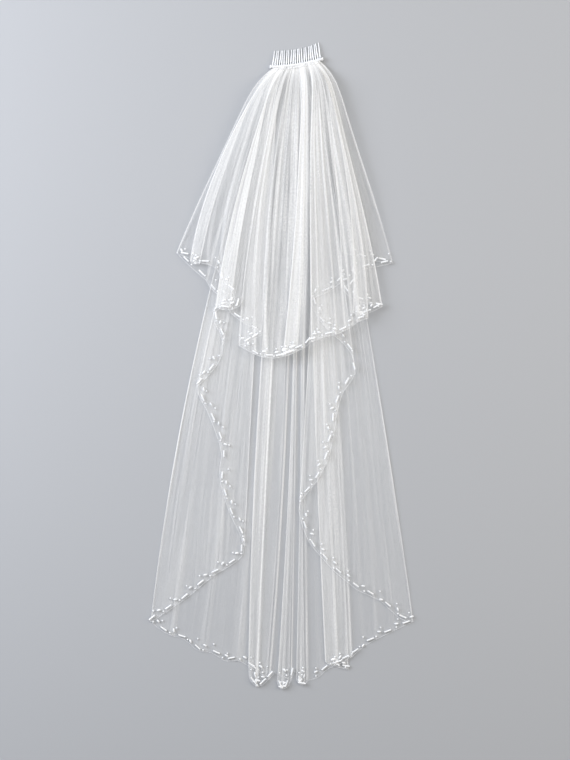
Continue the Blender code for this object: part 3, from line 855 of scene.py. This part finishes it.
deselect()
bpy.ops.mesh.primitive_cylinder_add(
    vertices=10, radius=BUGLE_RADIUS * MM, depth=BUGLE_LENGTH * MM, rotation=(0, math.pi / 2, 0)
)
bugle = finish_bead("bugle_bead")
bpy.ops.object.mode_set(mode="EDIT")
bpy.ops.mesh.select_mode(type="FACE")
bpy.ops.mesh.select_all(action="DESELECT")
bpy.ops.object.mode_set(mode="OBJECT")
for face in bugle.data.polygons:
    face.select = abs(face.normal.x) > 0.9
bpy.ops.object.mode_set(mode="EDIT")
bpy.ops.mesh.inset(thickness=0.45 * BUGLE_RADIUS * MM, use_individual=True)
bpy.ops.transform.resize(value=(0.9, 1, 1))
bpy.ops.object.mode_set(mode="OBJECT")
deselect()
bpy.ops.mesh.primitive_uv_sphere_add(segments=10, ring_count=7, radius=MM, rotation=(0, math.pi / 2, 0))
bpy.ops.object.transform_apply(rotation=True)
oat = finish_bead("oat_bead", OAT_SIZE)
deselect()
bpy.ops.mesh.primitive_uv_sphere_add(segments=9, ring_count=6, radius=MM)
seed = finish_bead("seed_bead", SEED_SIZE)
print("faces:", {bead.name: len(bead.data.polygons) for bead in (bugle, oat, seed)})

# %% [markdown]
# A bead sits at a run along the edge and an inset from it. The inset goes square to the edge and towards
# the cloth, and the cloth's height there is read from the sheet's own triangles. Near a sharp corner that
# place may lie past a fold, where there is no cloth of this panel, and then the inset is made smaller.

# %% Places along the edge
BEAD_ROWS = 10
BEAD_UNIT = 33.0
CROWDED_UNIT = 15.0
CROWDED_HEMS = (
    "pleat_1_top", "pleat_1_ridge", "pleat_2_top", "pleat_2_ridge", "pleat_3_top", "pleat_3_ridge",
    "pleat_4_under", "pleat_4_top", "left_strip_outer", "left_wing_outer", "centre_1_under", "centre_1_top",
    "centre_1_ridge", "centre_2_under", "centre_2_top", "right_turn_low", "right_fold_low",
)
BeadStep = namedtuple("BeadStep", "bead part inset turn loose lift")
BEAD_STEPS = (
    BeadStep(bugle, 0.23, 4.6, 0.0, 0.10, BUGLE_RADIUS),
    BeadStep(seed, 0.56, 3.4, 0.0, 1.50, SEED_SIZE[2]),
    BeadStep(oat, 0.73, 9.8, 0.35, 0.30, OAT_SIZE[2]),
    BeadStep(seed, 0.91, 14.5, 0.0, 1.50, SEED_SIZE[2]),
)


def height_on_panel(tier, panel, place):
    """Height of a panel's cloth at a place near its hem, or None where it has no cloth."""
    columns = np.flatnonzero(tier.panel == panel)
    first, last = max(columns[0] - 1, 0), min(columns[-1] + 2, len(tier.run))
    block = tier.grid[-BEAD_ROWS:, first:last]
    a, b, c, d = block[:-1, :-1], block[1:, :-1], block[:-1, 1:], block[1:, 1:]
    for corner, second, third in ((a, b, c), (d, c, b)):
        u, v = second - corner, third - corner
        w = np.array(place) - corner[..., :2]
        area = u[..., 0] * v[..., 1] - u[..., 1] * v[..., 0]
        area = np.where(np.abs(area) < 1e-9, 1e-9, area)
        p = (w[..., 0] * v[..., 1] - w[..., 1] * v[..., 0]) / area
        q = (u[..., 0] * w[..., 1] - u[..., 1] * w[..., 0]) / area
        inside = np.argwhere((p >= 0) & (q >= 0) & (p + q <= 1))
        if len(inside):
            i, j = inside[0]
            return corner[i, j, 2] + p[i, j] * u[i, j, 2] + q[i, j] * v[i, j, 2]
    return None


def bead_place(tier, run, inset):
    """(across, along, height, direction of the edge) for a bead, or None at a fold's very end."""
    column = int(np.clip(np.searchsorted(tier.run, run), 1, len(tier.run) - 2))
    if tier.panel[column] < 0:
        return None
    edge, ahead, behind = tier.grid[-1, column], tier.grid[-1, column + 1], tier.grid[-1, column - 1]
    along = (ahead - behind)[:2] / np.linalg.norm((ahead - behind)[:2])
    inward = np.array((-along[1], along[0]))
    if inward @ (tier.grid[-6, column] - edge)[:2] < 0:
        inward = -inward
    for share in (1.0, 0.7, 0.45, 0.25):
        place = edge[:2] + inward * inset * share
        height = height_on_panel(tier, tier.panel[column], place)
        if height is not None:
            return place[0], place[1], height, math.atan2(along[1], along[0])
    return None


def sew_beads(tier, seed_number):
    """Copies the beads along a tier's edge and joins each kind into one piece."""
    draw = np.random.default_rng(seed_number)
    sewn = {}
    reached = 0.0
    while reached < tier.run[-1] - BEAD_UNIT / 2:
        here = tier.panel[np.searchsorted(tier.run, reached + CROWDED_UNIT / 2)]
        unit = CROWDED_UNIT if here >= 0 and tier.folds[here].name in CROWDED_HEMS else BEAD_UNIT
        reached += unit
        for step in BEAD_STEPS:
            run = reached + unit * (step.part - 1) + draw.normal(0, 1.1)
            where = bead_place(tier, run, step.inset + draw.normal(0, 0.6))
            if where is None:
                continue
            across, along, height, direction = where
            copy = step.bead.copy()
            copy.data = step.bead.data.copy()
            turn = direction + step.turn * draw.choice((-1, 1)) + draw.normal(0, step.loose)
            copy.location = Vector((across, along, height + step.lift + NET_THICKNESS)) * MM
            copy.rotation_euler = (0, 0, turn)
            copy.scale = (draw.uniform(0.93, 1.05),) * 3
            bpy.context.scene.collection.objects.link(copy)
            sewn.setdefault(step.bead.name, []).append(copy)
    pieces = []
    for kind, copies in sewn.items():
        deselect()
        for copy in copies:
            copy.select_set(True)
        bpy.context.view_layer.objects.active = copies[0]
        bpy.ops.object.join()
        piece = bpy.context.object
        bpy.ops.object.transform_apply(location=True, rotation=True, scale=True)
        piece.name = kind + "s" + tier.name[5:]
        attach(piece, "root")
        pieces.append(piece)
        print(piece.name, len(copies), "beads")
    return pieces


long_beads = sew_beads(long_shape, 5)
short_beads = sew_beads(short_shape, 6)
for bead in (bugle, oat, seed):
    bpy.data.objects.remove(bead)

# %% [markdown]
# ## Comb
#
# The comb is bent from one springy wire: each tooth is a narrow hairpin, two legs from the spine to a
# round tip, and it is lashed to the spine wire with turns of finer wire. Every hairpin follows its tooth in
# the imported model. They lean a little to one side or the other, as wire combs do. The wire is drawn spring
# steel with a silver plating, which gives a pale, dull shine. The spine and its lashing are a darker grey
# steel.

# %% Comb wire
WIRE_RADIUS = 0.5
LEG_SPREAD = 1.1
TOOTH_COUNT = 22
TEETH_HALF = 39.8
TOOTH_LENGTH = 24.5
TOOTH_TIP_GATHER = 0.93
TOOTH_LEAN = 0.7
LEAN_WAVES = (2.4, 0.9)
TIP_RISE = 2.0
SPINE_AHEAD = 5.0
SPINE_HEIGHT = 3.4
SPINE_RADIUS = 0.6

comb_wire, wire_shader = new_material("plated_steel_wire", Base_Color=linear("#F6F7F8"), Metallic=1.0)
wire_place = add_node(comb_wire, "ShaderNodeTexCoord").outputs["Object"]
dulling = add_node(
    comb_wire, "ShaderNodeTexNoise", values={"Scale": 140.0, "Detail": 4.0}, links={"Vector": wire_place}
)
dull_range = add_node(
    comb_wire,
    "ShaderNodeMapRange",
    values={"From Min": 0.3, "From Max": 0.7, "To Min": 0.42, "To Max": 0.6},
    links={"Value": dulling.outputs["Fac"]},
)
comb_wire.node_tree.links.new(dull_range.outputs["Result"], wire_shader.inputs["Roughness"])

spine_wire, spine_shader = new_material("darkened_steel_wire", Base_Color=linear("#6E7276"), Metallic=1.0)
grime = add_node(
    spine_wire,
    "ShaderNodeTexNoise",
    values={"Scale": 300.0, "Detail": 3.0},
    links={"Vector": add_node(spine_wire, "ShaderNodeTexCoord").outputs["Object"]},
)
grime_range = add_node(
    spine_wire,
    "ShaderNodeMapRange",
    values={"To Min": 0.35, "To Max": 0.75},
    links={"Value": grime.outputs["Fac"]},
)
spine_wire.node_tree.links.new(grime_range.outputs["Result"], spine_shader.inputs["Roughness"])


def hairpin(number):
    """The points of one tooth: up one leg, round the tip and back down the other."""
    share = number / (TOOTH_COUNT - 1)
    across, along = comb_point(TEETH_HALF * (2 * share - 1))
    root = along + 0.4
    over_spine = SPINE_HEIGHT + 2 * SPINE_RADIUS + SEAM_GAP
    lean = TOOTH_LEAN * sum(math.sin(wave * number) for wave in LEAN_WAVES)
    tip_across = COMB_ACROSS + (across - COMB_ACROSS) * TOOTH_TIP_GATHER + lean
    tip = root + BINDING_RADIUS + TOOTH_LENGTH + TIP_RISE * (2 * share - 1) ** 2 * share
    middle = [
        (across, root, over_spine),
        (across, along + SPINE_AHEAD, over_spine),
        ((across + tip_across) / 2, (root + tip) / 2, over_spine - SPINE_RADIUS),
        ((across + 3 * tip_across) / 4, (root + 3 * tip) / 4, SPINE_HEIGHT),
        (tip_across, tip - 1.2, 2 * SPINE_RADIUS),
    ]
    spreads = (1.0, 1.0, 0.85, 0.7, 0.55)
    left = [(x - LEG_SPREAD * s / 2, y, z) for (x, y, z), s in zip(middle, spreads)]
    right = [(x + LEG_SPREAD * s / 2, y, z) for (x, y, z), s in zip(middle, spreads)]
    bend = LEG_SPREAD * spreads[-1] / 2
    turn = [
        (tip_across - bend * math.cos(t), tip - 1.2 + 1.2 * math.sin(t), 2 * SPINE_RADIUS)
        for t in (0.6, 1.2, 1.57, 1.94, 2.54)
    ]
    return [*left, *turn, *right[::-1]]


comb_pieces = []
for number in range(TOOTH_COUNT):
    tooth = thread_along(f"comb_hairpin_{number + 1:02d}", hairpin(number), WIRE_RADIUS, comb_wire, sides=2)
    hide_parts(f"comb_tooth_{number + 1:02d}")
    comb_pieces.append(tooth)
print("teeth:", len(comb_pieces))

# %% [markdown]
# The lashing is a small ring between each two teeth. Each ring is a torus, turned so that it goes round the
# spine, and the rings are joined. Spine and lashing are the darker grey wire.

# %% Spine lashing
LASH_RADIUS = 0.25


def ring_row(name, places, radius, thickness, height_ratio, slant, material, segments=(14, 6)):
    """Rings round the comb's line, at places along it, joined into one piece."""
    rings = []
    for place, ahead, level in places:
        across, along = comb_point(place)
        deselect()
        bpy.ops.mesh.primitive_torus_add(
            major_segments=segments[0],
            minor_segments=segments[1],
            major_radius=radius * MM,
            minor_radius=thickness * MM,
            rotation=(0, math.pi / 2, 0),
        )
        ring = bpy.context.object
        bpy.ops.object.transform_apply(rotation=True)
        ring.scale = (1.0, 1.0, height_ratio)
        bpy.ops.object.transform_apply(scale=True)
        ring.rotation_euler = (0, 0, COMB_TILT + slant)
        ring.location = Vector((across, along + ahead, level)) * MM
        rings.append(ring)
    deselect()
    for ring in rings:
        ring.select_set(True)
    bpy.context.view_layer.objects.active = rings[0]
    bpy.ops.object.join()
    piece = bpy.context.object
    bpy.ops.object.transform_apply(location=True, rotation=True, scale=True)
    piece.name = name
    piece.data.materials.append(material)
    piece.data.shade_smooth()
    print(name, len(rings), "rings")
    return piece


tooth_places = [TEETH_HALF * (2 * n / (TOOTH_COUNT - 1) - 1) for n in range(TOOTH_COUNT)]
lash_places = [(p + TEETH_HALF / TOOTH_COUNT, SPINE_AHEAD, SPINE_HEIGHT) for p in tooth_places[:-1]]
lashing = ring_row(
    "comb_lashing", lash_places, SPINE_RADIUS + LASH_RADIUS, LASH_RADIUS, 1.0, 0.25, spine_wire, (10, 5)
)
comb_pieces.append(lashing)
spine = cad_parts["comb_spine"]
spine.material_slots[0].material = spine_wire
for piece in comb_pieces:
    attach(piece, "root")

# %% [markdown]
# ## Binding
#
# White thread is wound round the gathers and the comb, turn beside turn, and knotted at both ends. The
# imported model's binding stays as the core, and the turns are rings on it, a little slanted, as a thread
# wound by hand lies. Below them a row of small slanted stitches holds the gathers.

# %% Binding turns, knots and gathering stitches
BINDING_MIDDLE = 4.9
TURN_SPACING = 1.5
TURN_THICKNESS = 0.5
TURN_HEIGHT_RATIO = 1.75
KNOT_PLACES = (-44.2, -43.1, 43.1, 44.2)
KNOT_THICKNESS = 0.7
KNOT_HEIGHT_RATIO = 1.48
STITCH_COUNT = 34
STITCH_BELOW = 1.4
STITCH_SPREAD = 0.9
STITCH_SIZE = (1.9, 0.62, 0.55)

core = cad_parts["comb_binding"]
core.material_slots[0].material = sewing_thread
turn_count = int(2 * COMB_HALF / TURN_SPACING)
wound = [(COMB_HALF * (2 * n / turn_count - 1), 0.0, BINDING_MIDDLE) for n in range(turn_count + 1)]
turns = ring_row(
    "binding_turns", wound, BINDING_RADIUS, TURN_THICKNESS, TURN_HEIGHT_RATIO, 0.22, sewing_thread
)
knots = ring_row(
    "binding_knots",
    [(p, 0.0, BINDING_MIDDLE) for p in KNOT_PLACES],
    BINDING_RADIUS + 0.3,
    KNOT_THICKNESS,
    KNOT_HEIGHT_RATIO,
    -0.2,
    sewing_thread,
)

draw = np.random.default_rng(11)
stitches = []
for number in range(STITCH_COUNT):
    place = COMB_HALF * 0.93 * (2 * number / (STITCH_COUNT - 1) - 1) + draw.normal(0, 0.4)
    across, along = comb_point(place)
    along -= BINDING_RADIUS + STITCH_BELOW + abs(draw.normal(0, STITCH_SPREAD))
    level = float(short_tier_height(6, across, along)) + STITCH_SIZE[2]
    deselect()
    bpy.ops.mesh.primitive_uv_sphere_add(segments=8, ring_count=6, radius=MM)
    stitch = bpy.context.object
    stitch.scale = STITCH_SIZE
    stitch.location = Vector((across, along, level)) * MM
    stitch.rotation_euler = (0, 0, COMB_TILT + draw.normal(1.1, 0.5))
    stitches.append(stitch)
deselect()
for stitch in stitches:
    stitch.select_set(True)
bpy.context.view_layer.objects.active = stitches[0]
bpy.ops.object.join()
stitching = bpy.context.object
bpy.ops.object.transform_apply(location=True, rotation=True, scale=True)
stitching.name = "gathering_stitches"
stitching.data.materials.append(sewing_thread)
stitching.data.shade_smooth()
for piece in (turns, knots, stitching):
    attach(piece, "root")
print("binding turns:", turn_count + 1)
